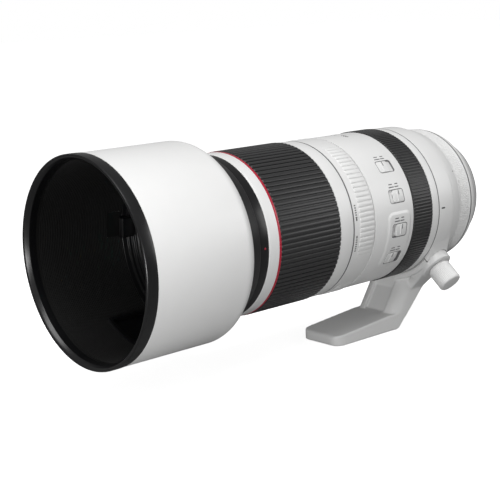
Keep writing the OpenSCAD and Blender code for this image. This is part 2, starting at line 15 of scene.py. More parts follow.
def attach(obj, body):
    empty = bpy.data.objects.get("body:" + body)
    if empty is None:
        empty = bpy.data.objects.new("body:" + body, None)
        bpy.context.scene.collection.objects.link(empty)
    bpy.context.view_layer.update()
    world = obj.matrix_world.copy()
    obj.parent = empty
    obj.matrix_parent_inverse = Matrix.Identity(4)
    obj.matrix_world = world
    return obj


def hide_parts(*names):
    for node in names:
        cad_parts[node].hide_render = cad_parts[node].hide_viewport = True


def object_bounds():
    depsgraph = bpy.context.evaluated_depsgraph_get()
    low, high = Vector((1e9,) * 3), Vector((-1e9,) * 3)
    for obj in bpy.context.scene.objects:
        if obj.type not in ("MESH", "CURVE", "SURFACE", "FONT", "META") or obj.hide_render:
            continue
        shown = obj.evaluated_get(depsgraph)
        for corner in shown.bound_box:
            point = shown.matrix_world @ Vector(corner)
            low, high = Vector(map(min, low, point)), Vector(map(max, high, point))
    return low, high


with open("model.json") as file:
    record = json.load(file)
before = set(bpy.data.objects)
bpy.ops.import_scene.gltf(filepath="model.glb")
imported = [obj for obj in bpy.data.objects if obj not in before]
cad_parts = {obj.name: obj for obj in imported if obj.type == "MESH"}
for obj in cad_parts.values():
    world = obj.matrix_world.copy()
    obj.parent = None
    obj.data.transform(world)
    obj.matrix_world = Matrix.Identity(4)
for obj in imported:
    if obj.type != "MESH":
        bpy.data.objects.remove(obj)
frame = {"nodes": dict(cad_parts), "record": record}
cad_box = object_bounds()
MM = 0.001
TURN = 2 * math.pi

# Stations, radii and angles shared by several pieces
BARREL_R = 46.3
GRIP_R = 46.85
CONTROL_S = (15.3, 27.4)
COLLAR_S = (36.5, 50.6)
FOCUS_S = (57.3, 73.9)
TORQUE_S = (107.7, 125.2)
ZOOM_S = (135.8, 181.5)
RED_S = (181.56, 183.0)
NAME_END_S = 189.9
FRONT_SEAT_S = 196.4
LENS_LENGTH = 207.6
HOOD_R = 56.4
HOOD_FRONT = 278.2
KNOB_ANGLE = 131
KNOB_OFFSET = 6.1
KNOB_S = 39.6
BOSS_TOP = 52.2
KNOB_END = 66.3
DOOR_ANGLE = 198
DOOR_WINDOW_S = (217.5, 240.5)
LATCH_S = 220
LATCH_ANGLE = -84
SWITCH_S = 87
SWITCH_WINDOW = (12.6, 8.4, 1.6)
DEGREES_PER_MM = math.degrees(1 / BARREL_R)
SWITCH_ANGLES = {"limiter": 50, "focus_mode": 73.6, "stabiliser": 98.5, "stabiliser_mode": 121}


# ---------------------------------------------------------------- materials

def shader(name, color, rough, metal=0.0, tint=0.05, tint_size=6.0, rough_swing=0.06,
           grain=0.04, grain_size=0.35, coat=0.0, streak=None):
    """Principled material whose colour, roughness and grain come from noise of stated size in mm."""
    mat = bpy.data.materials.new(name)
    mat.use_nodes = True
    nodes, links = mat.node_tree.nodes, mat.node_tree.links
    bsdf = nodes["Principled BSDF"]
    bsdf.inputs["Metallic"].default_value = metal
    bsdf.inputs["Coat Weight"].default_value = coat
    bsdf.inputs["Coat Roughness"].default_value = 0.25
    coords = nodes.new("ShaderNodeTexCoord")
    mapping = nodes.new("ShaderNodeMapping")
    links.new(coords.outputs["Object"], mapping.inputs["Vector"])
    if streak:
        mapping.inputs["Scale"].default_value = streak

    def texture(size, detail):
        tex = nodes.new("ShaderNodeTexNoise")
        tex.inputs["Scale"].default_value = 1 / (size * MM)
        tex.inputs["Detail"].default_value = detail
        links.new(mapping.outputs["Vector"], tex.inputs["Vector"])
        return tex.outputs["Fac"]

    shade = nodes.new("ShaderNodeMix")
    shade.data_type = "RGBA"
    shade.inputs["A"].default_value = [c * (1 - tint) for c in color] + [1]
    shade.inputs["B"].default_value = [min(1, c * (1 + tint)) for c in color] + [1]
    links.new(texture(tint_size, 3), shade.inputs["Factor"])
    links.new(shade.outputs["Result"], bsdf.inputs["Base Color"])
    gloss = nodes.new("ShaderNodeMapRange")
    gloss.inputs["To Min"].default_value = rough - rough_swing
    gloss.inputs["To Max"].default_value = rough + rough_swing
    links.new(texture(tint_size * 0.7, 4), gloss.inputs["Value"])
    links.new(gloss.outputs["Result"], bsdf.inputs["Roughness"])
    bump = nodes.new("ShaderNodeBump")
    bump.inputs["Strength"].default_value = 0.5
    bump.inputs["Distance"].default_value = grain * MM
    links.new(texture(grain_size, 2), bump.inputs["Height"])
    links.new(bump.outputs["Normal"], bsdf.inputs["Normal"])
    return mat


def glass_shader(name, color, film, ior=1.6):
    """Coated optical glass: clear body, faint tint and a thin reflecting film of stated thickness."""
    mat = shader(name, color, 0.03, tint=0.02, rough_swing=0.01, grain=0.0005, grain_size=4)
    bsdf = mat.node_tree.nodes["Principled BSDF"]
    bsdf.inputs["Transmission Weight"].default_value = 1.0
    bsdf.inputs["IOR"].default_value = ior
    bsdf.inputs["Thin Film Thickness"].default_value = film
    bsdf.inputs["Thin Film IOR"].default_value = 1.38
    return mat


WHITE = shader("white_paint", (0.80, 0.80, 0.795), 0.40, tint=0.012, tint_size=9,
               grain=0.012, grain_size=0.30, coat=0.15)
BLACK = shader("black_paint", (0.003, 0.003, 0.0035), 0.30, tint=0.15, grain=0.008,
               grain_size=0.25, coat=0.1)
RUBBER = shader("grip_rubber", (0.026, 0.026, 0.0265), 0.36, tint=0.12, tint_size=3,
                grain=0.012, grain_size=0.22)
SEAL = shader("seal_rubber", (0.010, 0.010, 0.010), 0.6, tint=0.1)
LINER = shader("hood_lining", (0.005, 0.005, 0.005), 0.42, tint=0.2, tint_size=2,
               grain=0.03, grain_size=0.18)
INNER = shader("inner_black", (0.008, 0.008, 0.009), 0.6, tint=0.15)
STEEL = shader("mount_steel", (0.62, 0.62, 0.62), 0.24, metal=1, tint=0.05, tint_size=2,
               grain=0.01, grain_size=0.2, streak=(1, 0.15, 1))
ALLOY = shader("inner_metal", (0.50, 0.50, 0.51), 0.36, metal=1, tint=0.08, tint_size=3)
RED = shader("red_line", (0.42, 0.006, 0.03), 0.32, tint=0.08, tint_size=4, coat=0.3)
GOLD = shader("contact_gold", (0.78, 0.55, 0.22), 0.22, metal=1, tint=0.05, tint_size=1)
BOARD = shader("board_green", (0.02, 0.12, 0.06), 0.4, tint=0.2, tint_size=1.5)
BLADE = shader("blade_metal", (0.03, 0.03, 0.032), 0.42, metal=0.6, tint=0.1)
MARK = shader("mark_ink", (0.030, 0.030, 0.032), 0.55, tint=0.1)
# Grey ink for printed labels and words, also used as painted shade on the switch windows' walls and in
# the gaps between rings.
GREY_INK_AND_SHADE = shader("grey_ink_and_shade", (0.14, 0.14, 0.145), 0.5, tint=0.08)
SPLIT_SHADE = shader("seam_shadow", (0.05, 0.05, 0.05), 0.7, tint=0.1)
GLASS = glass_shader("coated_glass", (0.93, 0.97, 0.96), 420)
SLOT_MATERIALS = {"white_paint": WHITE, "white_plastic": WHITE, "black_paint": BLACK,
                  "grip_rubber": RUBBER, "seal_rubber": SEAL, "inner_black": INNER,
                  "mount_steel": STEEL, "inner_metal": ALLOY, "red_line": RED,
                  "contact_gold": GOLD, "board_green": BOARD, "blade_metal": BLADE,
                  "coated_glass": GLASS}
SLOT_OF = {part["node"]: part["material_slot"] for part in frame["record"]["subparts"]}
BODY_OF = {node: body for body, nodes in frame["record"]["behaviour"]["bodies"].items()
           for node in nodes}


# ---------------------------------------------------------------- mesh tools

def place(r, s, angle):
    """Row-frame point at a radius, a station and an angle from the top, in metres."""
    a = math.radians(angle)
    return Vector((r * math.sin(a) * MM, -s * MM, r * math.cos(a) * MM))


def finish_mesh(name, bm, material, smooth_angle=32):
    """Turns a bmesh into an object with smooth faces that stay sharp at real edges."""
    bmesh.ops.recalc_face_normals(bm, faces=bm.faces)
    mesh = bpy.data.meshes.new(name)
    for face in bm.faces:
        face.smooth = True
    for edge in bm.edges:
        if len(edge.link_faces) == 2 and edge.calc_face_angle(0) > math.radians(smooth_angle):
            edge.smooth = False
    bm.to_mesh(mesh)
    bm.free()
    mesh.materials.append(material)
    obj = bpy.data.objects.new(name, mesh)
    bpy.context.collection.objects.link(obj)
    return obj


def piece(obj, node, *others):
    """A detailed piece that stands for a CAD node and rides as that node does."""
    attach(obj, BODY_OF[node])
    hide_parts(node, *others)
    return obj


def extra(obj, node):
    """A small added piece that rides with a CAD node, such as a printed mark."""
    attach(obj, BODY_OF[node])
    return obj


def rounded(outline, steps=3):
    """Rounds each (radius, station, fillet) corner of a closed outline; two numbers stay sharp."""
    points = []
    count = len(outline)
    for i, corner in enumerate(outline):
        here = Vector(corner[:2])
        if len(corner) < 3:
            points.append(here)
            continue
        before = Vector(outline[i - 1][:2]) - here
        after = Vector(outline[(i + 1) % count][:2]) - here
        trim = min(corner[2], 0.48 * before.length, 0.48 * after.length)
        start = here + before.normalized() * trim
        end = here + after.normalized() * trim
        for k in range(steps + 1):
            t = k / steps
            points.append((1 - t) ** 2 * start + 2 * t * (1 - t) * here + t * t * end)
    return points


def arc(center_r, center_s, r, a0, a1, steps=10):
    """Points on an arc of a profile, from angle a0 to a1 in degrees."""
    return [(center_r + r * math.cos(math.radians(a0 + (a1 - a0) * i / steps)),
             center_s + r * math.sin(math.radians(a0 + (a1 - a0) * i / steps)))
            for i in range(steps + 1)]


def skin(bm, rows, close=True):
    """Joins equal rows of vertices into a sheet; a closed one also joins the last row to the first."""
    last = len(rows) if close else len(rows) - 1
    for i in range(last):
        a, b = rows[i], rows[(i + 1) % len(rows)]
        n = len(a)
        for j in range(n):
            k = (j + 1) % n
            bm.faces.new((a[j], a[k], b[k], b[j]))


def capped(bm, rows):
    """Joins rows of vertices into a solid closed by a face at each end."""
    skin(bm, rows, close=False)
    bm.faces.new(rows[0])
    bm.faces.new(rows[-1])


def thickened(name, bm, grid, floor_r):
    """White solid between a grid of vertices and a cylinder of a smaller radius under it."""
    for a, b in zip(grid, grid[1:]):
        for j in range(len(a) - 1):
            bm.faces.new((a[j], b[j], b[j + 1], a[j + 1]))
    extruded = bmesh.ops.extrude_face_region(bm, geom=bm.faces[:])
    for v in [g for g in extruded["geom"] if isinstance(g, bmesh.types.BMVert)]:
        flat = Vector((v.co.x, 0, v.co.z)).normalized() * floor_r * MM
        v.co = Vector((flat.x, v.co.y, flat.z))
    return finish_mesh(name, bm, WHITE, 60)


def revolve(name, outline, material, segments=224, smooth_angle=32):
    """Closed ring from a closed (radius, station) outline."""
    bm = bmesh.new()
    rows = [[bm.verts.new(place(p[0], p[1], 360 * j / segments)) for j in range(segments)]
            for p in rounded(outline)]
    skin(bm, rows)
    return finish_mesh(name, bm, material, smooth_angle)


def ribbed(name, s0, s1, inner_r, root_r, crest_r, count, groove, end_round, material):
    """Rubber sleeve with rounded axial ribs; groove is the share of the pitch between two ribs."""
    bm = bmesh.new()
    per_rib = [0, 0.5 * groove, 0.5 * groove + 0.05, 0.5 * groove + 0.13, 0.5, 0.87 - 0.5 * groove,
               0.95 - 0.5 * groove, 1 - 0.5 * groove]
    height = [0, 0, 0.7, 0.9, 1, 0.9, 0.7, 0]
    ends = [(0, 0), (0.08, 0.45), (0.3, 0.8), (0.62, 0.97), (1, 1)]
    stations = [s0 + end_round * t for t, _ in ends] + [s1 - end_round * t for t, _ in ends[::-1]]
    lift = [h for _, h in ends] + [h for _, h in ends[::-1]]
    angles = [360 * (i + u) / count for i in range(count) for u in per_rib]
    tops = height * count
    low = root_r - 0.35
    rows = []
    for s, up in zip(stations, lift):
        rows.append([bm.verts.new(place(low + (root_r + (crest_r - root_r) * h - low) * up, s, a))
                     for a, h in zip(angles, tops)])
    rows.append([bm.verts.new(place(inner_r, s1, a)) for a in angles])
    rows.append([bm.verts.new(place(inner_r, s0, a)) for a in angles])
    skin(bm, rows)
    return finish_mesh(name, bm, material, 40)


def knurled(name, s0, s1, radius_at, inner_r, around, along, height, material, samples=6):
    """Ring whose outside carries small crossed-groove pyramids between its two plain borders."""
    bm = bmesh.new()
    border = 0.9
    edge = 0.35
    n = around * samples
    m = along * samples

    def circle(r, s):
        return [bm.verts.new(place(r, s, 360 * j / n)) for j in range(n)]

    def saw(x):
        x = x % 1.0
        return 1 - abs(2 * x - 1)

    rows = [circle(radius_at(s0) - edge, s0), circle(radius_at(s0 + edge), s0 + edge),
            circle(radius_at(s0 + border), s0 + border)]
    for i in range(m + 1):
        s = s0 + border + 0.15 + (s1 - s0 - 2 * border - 0.3) * i / m
        fade = min(1, i / 2, (m - i) / 2)
        row = []
        for j in range(n):
            u = j / samples + i / samples
            v = j / samples - i / samples
            up = min(saw(u), saw(v), 0.75) / 0.75
            row.append(bm.verts.new(place(radius_at(s) - height * fade * (1 - up), s, 360 * j / n)))
        rows.append(row)
    rows += [circle(radius_at(s1 - border), s1 - border), circle(radius_at(s1 - edge), s1 - edge),
             circle(radius_at(s1) - edge, s1), circle(inner_r, s1), circle(inner_r, s0)]
    skin(bm, rows)
    return finish_mesh(name, bm, material, 60)


def rounded_rect(width, height, r, steps=5):
    """Closed outline of a rectangle with round corners, centred on zero."""
    points = []
    for cx, cy, start in ((1, 1, 0), (-1, 1, 90), (-1, -1, 180), (1, -1, 270)):
        for i in range(steps + 1):
            a = math.radians(start + 90 * i / steps)
            points.append((cx * (width / 2 - r) + r * math.cos(a),
                           cy * (height / 2 - r) + r * math.sin(a)))
    return points


def wrapped(name, layers, s, angle, material, smooth_angle=40):
    """Solid whose outline layers, each (outline, radius), lie on cylinders round the axis.

    An outline's first number runs forward along the axis and its second round the barrel, in mm.
    """
    bm = bmesh.new()
    rows = []
    for outline, r in layers:
        rows.append([bm.verts.new(place(r, s + p[0], angle + math.degrees(p[1] / BARREL_R)))
                     for p in outline])
    capped(bm, rows)
    return finish_mesh(name, bm, material, smooth_angle)


def slab(name, rect, r0, r1, s, angle, material):
    """Plain rounded block between two radii; rect is its width, height and corner radius."""
    outline = rounded_rect(*rect)
    return wrapped(name, [(outline, r0), (outline, r1)], s, angle, material)


def patch(name, stations, radii, angle, half_angle, material, steps=28):
    """Curved plate between two stations and two radii, spread both ways from an angle."""
    (s0, s1), (r0, r1) = stations, radii
    bm = bmesh.new()
    rows = []
    for i in range(steps + 1):
        a = angle + half_angle * (2 * i / steps - 1)
        rows.append([bm.verts.new(place(r, s, a)) for r, s in ((r0, s0), (r0, s1), (r1, s1), (r1, s0))])
    capped(bm, rows)
    return finish_mesh(name, bm, material)


def pad(name, width, height, r, base, top, s, angle, material, bevel=0.25):
    """Rounded pad on the barrel with a softened top edge."""
    full = rounded_rect(width, height, r)
    small = rounded_rect(width - 2 * bevel, height - 2 * bevel, max(0.1, r - bevel))
    mid = rounded_rect(width - 0.6 * bevel, height - 0.6 * bevel, max(0.15, r - 0.3 * bevel))
    return wrapped(name, [(full, base), (full, top - bevel), (mid, top - 0.3 * bevel), (small, top)],
                   s, angle, material)


def cut(obj, *cutters):
    """Takes the cutters' volumes out of a piece and throws the cutters away."""
    for cutter in cutters:
        mod = obj.modifiers.new("cut", "BOOLEAN")
        mod.operation = "DIFFERENCE"
        mod.solver = "EXACT"
        mod.object = cutter
        bpy.context.view_layer.update()
        deps = bpy.context.evaluated_depsgraph_get()
        mesh = bpy.data.meshes.new_from_object(obj.evaluated_get(deps))
        obj.modifiers.clear()
        obj.data = mesh
        bpy.data.objects.remove(cutter)
    sharpen(obj)
    return obj


def sharpen(obj, smooth_angle=32):
    """Marks sharp edges again after a piece's mesh has changed."""
    bm = bmesh.new()
    bm.from_mesh(obj.data)
    bmesh.ops.dissolve_degenerate(bm, edges=bm.edges, dist=1e-7)
    for face in bm.faces:
        face.smooth = True
    for edge in bm.edges:
        edge.smooth = not (len(edge.link_faces) == 2
                           and edge.calc_face_angle(0) > math.radians(smooth_angle))
    bm.to_mesh(obj.data)
    bm.free()


# ---------------------------------------------------------------- carried-over CAD nodes

for node_name, node_object in frame["nodes"].items():
    node_object.data.materials.clear()
    node_object.data.materials.append(SLOT_MATERIALS[SLOT_OF[node_name]])


# ---------------------------------------------------------------- hood

def hood_cutters(r, material):
    """Volumes of the door's window and the latch's slot, from a radius outwards."""
    return (patch("window", DOOR_WINDOW_S, (r, r + 5), DOOR_ANGLE, 17, material),
            slab("slot", (10, 12.8, 1.2), r, r + 5, LATCH_S, LATCH_ANGLE, material))


def hood():
    """White shell, black rim, grooved lining, black collar, door and release button."""
    shell = revolve("hood_body", [(48.7, 203.5, 0.3)] + arc(47.2, 213.9, 8.9, -70, 0, 16)
                    + [(HOOD_R - 0.2, 271.2, 0.3), (55.2, 271.3), (55.2, 216), (53.6, 210),
                       (51, 207.2), (48.7, 206.2)], WHITE, 288)
    piece(cut(shell, *hood_cutters(53, WHITE)), "hood_shell")

    piece(revolve("hood_front_rim", [
        (53.2, 271.4), (HOOD_R - 0.1, 271.5, 0.2), (HOOD_R, 273), (HOOD_R, HOOD_FRONT, 0.9),
        (54.9, HOOD_FRONT, 0.5), (54.2, HOOD_FRONT - 0.9, 0.3), (53.2, HOOD_FRONT - 2.6, 0.3)],
        BLACK, 288), "hood_rim")

    first, last, pitch = 215.2, 270.2, 1.1
    outline = [(53.9, 214.5), (53.9, 269), (55.1, 269.1), (55.1, 271.3), (53.2, 271.3)]
    for i in range(int((last - first) / pitch), -1, -1):
        s = first + i * pitch
        outline += [(53.2, s + 0.62 * pitch), (53.55, s + 0.5 * pitch), (53.55, s + 0.15 * pitch),
                    (53.2, s)]
    outline.append((53.2, 214.5))
    piece(cut(revolve("hood_lining", outline, LINER, 224), *hood_cutters(51, LINER)), "hood_liner")

    ring = revolve("hood_rear_collar", [
        (45, 196.8, 0.2), (46.9, 196.8, 0.5), (48.1, 203.3, 0.3), (48.5, 203.5), (48.5, 206.3),
        (50.8, 207.4), (53.3, 210.2), (54.2, 214.3), (52.9, 214.4, 0.2), (52.2, 211.6, 0.2),
        (50.9, 211.4, 0.2), (50.6, 209.6, 0.2), (49.1, 209.4, 0.2), (48.8, 208.2, 0.2),
        (47.2, 208.0, 0.2), (46.9, 207.3, 0.2), (45, 207.2, 0.3), (45, 202.4), (46.3, 202.4),
        (46.3, 199.7), (45, 199.7)], BLACK, 256)
    piece(ring, "hood_collar")
    extra(wrapped("hood_latch_housing", [
        (rounded_rect(8.6, 10, 0.8), 48.6), (rounded_rect(9.4, 11, 1), 49.2),
        (rounded_rect(9.4, 11, 1), 52.3)], 212.4, -86, BLACK), "hood_collar")
    extra(slab("hood_latch_bed", (9.9, 12.7, 1.2), 53.2, 53.36, LATCH_S, LATCH_ANGLE, LINER),
          "hood_liner")

    frame_plate = patch("hood_door_frame", (215.7, 242.3), (51.6, 53.3), DOOR_ANGLE, 18.8, BLACK)
    frame_window = patch("window", (217.6, 240.4), (50, 55), DOOR_ANGLE, 16.9, BLACK)
    extra(cut(frame_plate, frame_window), "hood_liner")

    piece(pad("hood_release", 9.2, 11.8, 1.4, 54.6, 56.9, LATCH_S, LATCH_ANGLE, BLACK, 0.5),
          "hood_button")
    for i in range(4):
        extra(pad(f"hood_release_ridge_{i + 1}", 0.8, 8.6, 0.35, 56.6, 57.3,
                  LATCH_S - 3 + 2 * i, LATCH_ANGLE, BLACK, 0.25), "hood_button")

    piece(patch("hood_window_door", (215.6, 242.4), (54.3, 54.9), DOOR_ANGLE, 20, BLACK), "hood_door")
    extra(pad("hood_door_grip", 20, 2.4, 1, 54.8, 56.1, 229, DOOR_ANGLE + 14.9, BLACK, 0.5),
          "hood_door")


# ---------------------------------------------------------------- front barrel

def front_barrel():
    """Black front ring with the filter thread and hood lugs, name ring and red line."""
    outline = [(39.1, NAME_END_S), (45.6, NAME_END_S, 0.1), (45.9, NAME_END_S + 0.5, 0.2),
               (45.9, FRONT_SEAT_S, 0.2), (44.6, FRONT_SEAT_S, 0.2), (44.6, LENS_LENGTH, 0.6),
               (38.8, LENS_LENGTH, 0.2), (38.1, LENS_LENGTH - 0.6)]
    for i in range(5):
        s = LENS_LENGTH - 0.8 - 0.75 * i
        outline += [(38.1, s), (38.45, s - 0.36), (38.1, s - 0.72)]
    outline += [(38.1, 203), (39.1, 203)]
    piece(revolve("front_ring_body", outline, BLACK, 256), "front_ring")
    for i, a in enumerate((60, 180, 300)):
        extra(wrapped(f"hood_lug_{i + 1}", [(rounded_rect(2, 30, 0.5), 44.4),
                                            (rounded_rect(2, 30, 0.5), 45.7),
                                            (rounded_rect(1.6, 29.6, 0.4), 45.9)], 201, a, BLACK),
              "front_ring")
    dot = [(0.6 * math.cos(TURN * i / 28), 0.6 * math.sin(TURN * i / 28)) for i in range(28)]
    extra(wrapped("hood_index_dot", [(dot, 45.7), (dot, 45.93), ([(x * 0.8, y * 0.8) for x, y in dot],
                                                                45.98)], 192.9, 90.5, RED),
          "red_ring")
    piece(revolve("name_ring_body", [
        (43.5, RED_S[1]), (46.45, RED_S[1] + 0.05, 0.1), (46.1, NAME_END_S - 0.6, 0.3),
        (45.6, NAME_END_S - 0.05, 0.2), (43.5, NAME_END_S - 0.05)], WHITE, 256), "name_ring")
    piece(revolve("red_line_ring", [
        (43.5, RED_S[0]), (46.6, RED_S[0], 0.2), (46.6, RED_S[1], 0.2), (43.5, RED_S[1])],
        RED, 256), "red_ring")


# ---------------------------------------------------------------- zoom and focus grips

def grips():
    """Ribbed rubber of the zoom and focus rings, and the white band of the zoom ring."""
    piece(ribbed("zoom_ring_rubber", ZOOM_S[0] + 0.1, ZOOM_S[1], 44.8, GRIP_R - 0.75, GRIP_R, 100,
                 0.20, 1.0, RUBBER), "zoom_grip")
    piece(revolve("zoom_ring_body", [
        (42, 84), (44.3, 84), (44.3, 107.7), (44.8, 107.7), (44.8, 125.5), (46.0, 125.5, 0.1),
        (46.4, 125.9, 0.3), (46.4, ZOOM_S[0], 0.15), (44.8, ZOOM_S[0]), (44.8, ZOOM_S[1]),
        (43.9, ZOOM_S[1]), (43.9, 106), (43.8, 106), (43.8, 86.5), (42, 86.5)], WHITE, 256),
        "zoom_sleeve")
    piece(ribbed("focus_ring_rubber", FOCUS_S[0], FOCUS_S[1], 45.4, GRIP_R - 0.42, GRIP_R, 150,
                 0.26, 0.8, RUBBER), "focus_grip")


# ---------------------------------------------------------------- barrel

def torque_ring():
    """White torque ring with fading patches of low ribs."""
    ring = revolve("torque_ring_body", [
        (45.15, TORQUE_S[0]), (46.0, TORQUE_S[0], 0.1), (BARREL_R, TORQUE_S[0] + 0.4, 0.2),
        (BARREL_R, TORQUE_S[1] - 0.4, 0.2), (46.0, TORQUE_S[1], 0.1), (45.15, TORQUE_S[1])],
        WHITE, 256)
    piece(ring, "torque_ring")
    step, half = 3.55, 13
    for group, middle in enumerate((67.5, 187.5, 307.5)):
        bm = bmesh.new()
        for i in range(-half, half + 1):
            fade = min(1, (half + 0.6 - abs(i)) / 3.5)
            top = BARREL_R + 0.45 * fade
            layers = [(rounded_rect(11.6, 2.2, 0.4), BARREL_R - 0.15),
                      (rounded_rect(11.6, 2.2, 0.4), top - 0.12 * fade),
                      (rounded_rect(11.3, 1.9, 0.35), top)]
            rows = [[bm.verts.new(place(r, 114.3 + p[0], middle + step * i
                                        + math.degrees(p[1] / BARREL_R))) for p in outline]
                    for outline, r in layers]
            capped(bm, rows)
        extra(finish_mesh(f"torque_ring_ribs_{group + 1}", bm, WHITE, 50), "torque_ring")


def switch_cutter(angle):
    """Volume of one switch window, to be cut out of the barrel or the panel."""
    return slab("window", SWITCH_WINDOW, 43.5, 49, SWITCH_S, angle, WHITE)


def main_barrel():
    """Fixed white barrel with its raised switch panel, switch windows and sliders."""
    body = revolve("barrel_body", [
        (43, 50.9), (46.1, 50.95, 0.2), (46.45, 51.4, 0.3), (46.45, 57.0, 0.2), (44.4, 57.0),
        (44.4, 74.2), (46.0, 74.2, 0.1), (BARREL_R, 74.5, 0.2), (BARREL_R, 107.3, 0.25),
        (45.1, 107.3), (45.1, 76.4), (43, 76.4)], WHITE, 288)
    piece(cut(body, *[switch_cutter(angle) for angle in SWITCH_ANGLES.values()]), "main_barrel")
    panel()
    offsets = {"limiter": 1.5, "focus_mode": -1.5, "stabiliser": -1.5, "stabiliser_mode": 1.5}
    inset = (12.58, 8.38, 1.6)
    labels = ((4.6, -3.2, 5.6), (3.4, 2.4, 5.6), (3.0, -3.4, 7.3), (2.4, 2.8, 7.3))
    for name, angle in SWITCH_ANGLES.items():
        raised = name.startswith("stabiliser")
        top = 47.05 if raised else 46.5
        face = BARREL_R + (0.58 if raised else 0)
        s = SWITCH_S + offsets[name]
        node = name + "_switch"
        well = slab(name + "_well", inset, 45.2, 45.46, SWITCH_S, angle, WHITE)
        # Grey lining on each window's inner walls: painted shade in the recess.
        edge = slab(name + "_outline_shade", inset, 45.46, face - 0.03, SWITCH_S, angle, GREY_INK_AND_SHADE)
        room = slab("room", (11.9, 7.7, 1.3), 45, 49, SWITCH_S, angle, WHITE)
        track = slab("track", (6.2, 2.4, 0.6), 44, 49, SWITCH_S, angle, WHITE)
        extra(cut(well, track), "main_barrel")
        extra(cut(edge, room), "main_barrel")
        piece(pad(name + "_slider", 8.6, 7.4, 1.1, 45.55, top, s, angle, WHITE, 0.3), node)
        extra(pad(name + "_slider_stem", 2.4, 1.6, 0.3, 44.6, 45.6, s, angle, INNER, 0.1), node)
        extra(pad(name + "_slider_ridge", 1.0, 6.6, 0.4, top - 0.1, top + 0.28, s + 0.6, angle, WHITE,
                  0.25), node)
        extra(pad(name + "_slider_line", 0.42, 2.9, 0.2, top - 0.05, top + 0.03, s - 0.6,
                  angle - 2.05 * DEGREES_PER_MM, MARK, 0.02), node)
        for i, (width, shift, row) in enumerate(labels):
            extra(pad(f"{name}_label_{i + 1}", width, 0.62, 0.2, face - 0.05, face + 0.03,
                      SWITCH_S - shift * 0.8, angle - row * DEGREES_PER_MM, GREY_INK_AND_SHADE, 0.02),
                  "main_barrel")


def mark(name, width, height, s, angle, r, node, material=MARK):
    """Thin printed mark of a size along and round the barrel, in mm."""
    extra(pad(name, width, height, min(width, height) * 0.35, r - 0.05, r + 0.03, s, angle,
              material, 0.02), node)


def numeral(name, text, size, s, angle, r, node):
    """Printed number that reads from the rear of the lens, wrapped on a cylinder."""
    curve = bpy.data.curves.new(name, "FONT")
    curve.body = text
    curve.size = size
    curve.align_x = "CENTER"
    curve.extrude = 0.04
    curve.resolution_u = 3
    source = bpy.data.objects.new(name, curve)
    bpy.context.collection.objects.link(source)
    bpy.context.view_layer.update()
    mesh = bpy.data.meshes.new_from_object(
        source.evaluated_get(bpy.context.evaluated_depsgraph_get()))
    bpy.data.objects.remove(source)
    bm = bmesh.new()
    bm.from_mesh(mesh)
    bmesh.ops.remove_doubles(bm, verts=bm.verts, dist=0.002)
    for v in bm.verts:
        v.co = place(r + v.co.z, s + v.co.y, angle + math.degrees(v.co.x / r))
    extra(finish_mesh(name, bm, MARK), node)


def marks():
    """Zoom scale, collar index, control dot, and the torque ring's arrow and rows of bars."""
    for i, (text, angle) in enumerate((("100", -62), ("135", -46), ("200", -31), ("300", -17),
                                       ("400", -5), ("500", 7))):
        numeral(f"zoom_scale_{i + 1}", text, 3.4, 88, angle, BARREL_R, "main_barrel")
    mark("zoom_index", 2.4, 0.7, 94.5, -28, BARREL_R, "main_barrel")
    mark("collar_index", 3.2, 0.9, 47.0, 89.5, 46.28, "collar_ring")
    mark("control_dot", 1.1, 1.1, 29.6, 63, 44.0, "rear_housing")
    arrow_s = 122.9
    for i in range(6):
        for k, middle in enumerate((78.5, 103)):
            mark(f"torque_word_{6 * k + i + 1}", 1.3, 0.75, arrow_s,
                 middle + 1.35 * (i - 2.5) * DEGREES_PER_MM, BARREL_R, "torque_ring", GREY_INK_AND_SHADE)
    mark("torque_arrow", 0.28, 10, arrow_s, 90.5, BARREL_R, "torque_ring")
    mark("torque_arrow_end_1", 0.9, 1.6, arrow_s, 84.2, BARREL_R, "torque_ring")
    mark("torque_arrow_end_2", 0.9, 1.6, arrow_s, 96.8, BARREL_R, "torque_ring")


def panel():
    """Softly raised pad that carries the two stabiliser switches."""
    s0, s1, a0, a1 = 76.6, 97.2, 84.5, 130
    lift, soft = 0.6, 1.9
    mm_per_degree = 0.808
    n_s, n_a = 44, 96
    bm = bmesh.new()

    def height(u, v):
        corner = 4.5
        dx = max(0, abs(u) - ((s1 - s0) / 2 - corner))
        dy = max(0, abs(v) - ((a1 - a0) / 2 * mm_per_degree - corner))
        edge = corner - math.hypot(dx, dy)
        t = max(0, min(1, edge / soft))
        return t * t * (3 - 2 * t)

    grid = []
    for i in range(n_s + 1):
        row = []
        for j in range(n_a + 1):
            u = (i / n_s - 0.5) * (s1 - s0)
            v = (j / n_a - 0.5) * (a1 - a0)
            row.append(bm.verts.new(place(BARREL_R - 0.02 + lift * height(u, v * mm_per_degree),
                                          (s0 + s1) / 2 + u, (a0 + a1) / 2 + v)))
        grid.append(row)
    cutters = [switch_cutter(SWITCH_ANGLES[name]) for name in ("stabiliser", "stabiliser_mode")]
    extra(cut(thickened("switch_panel", bm, grid, 45.6), *cutters), "main_barrel")


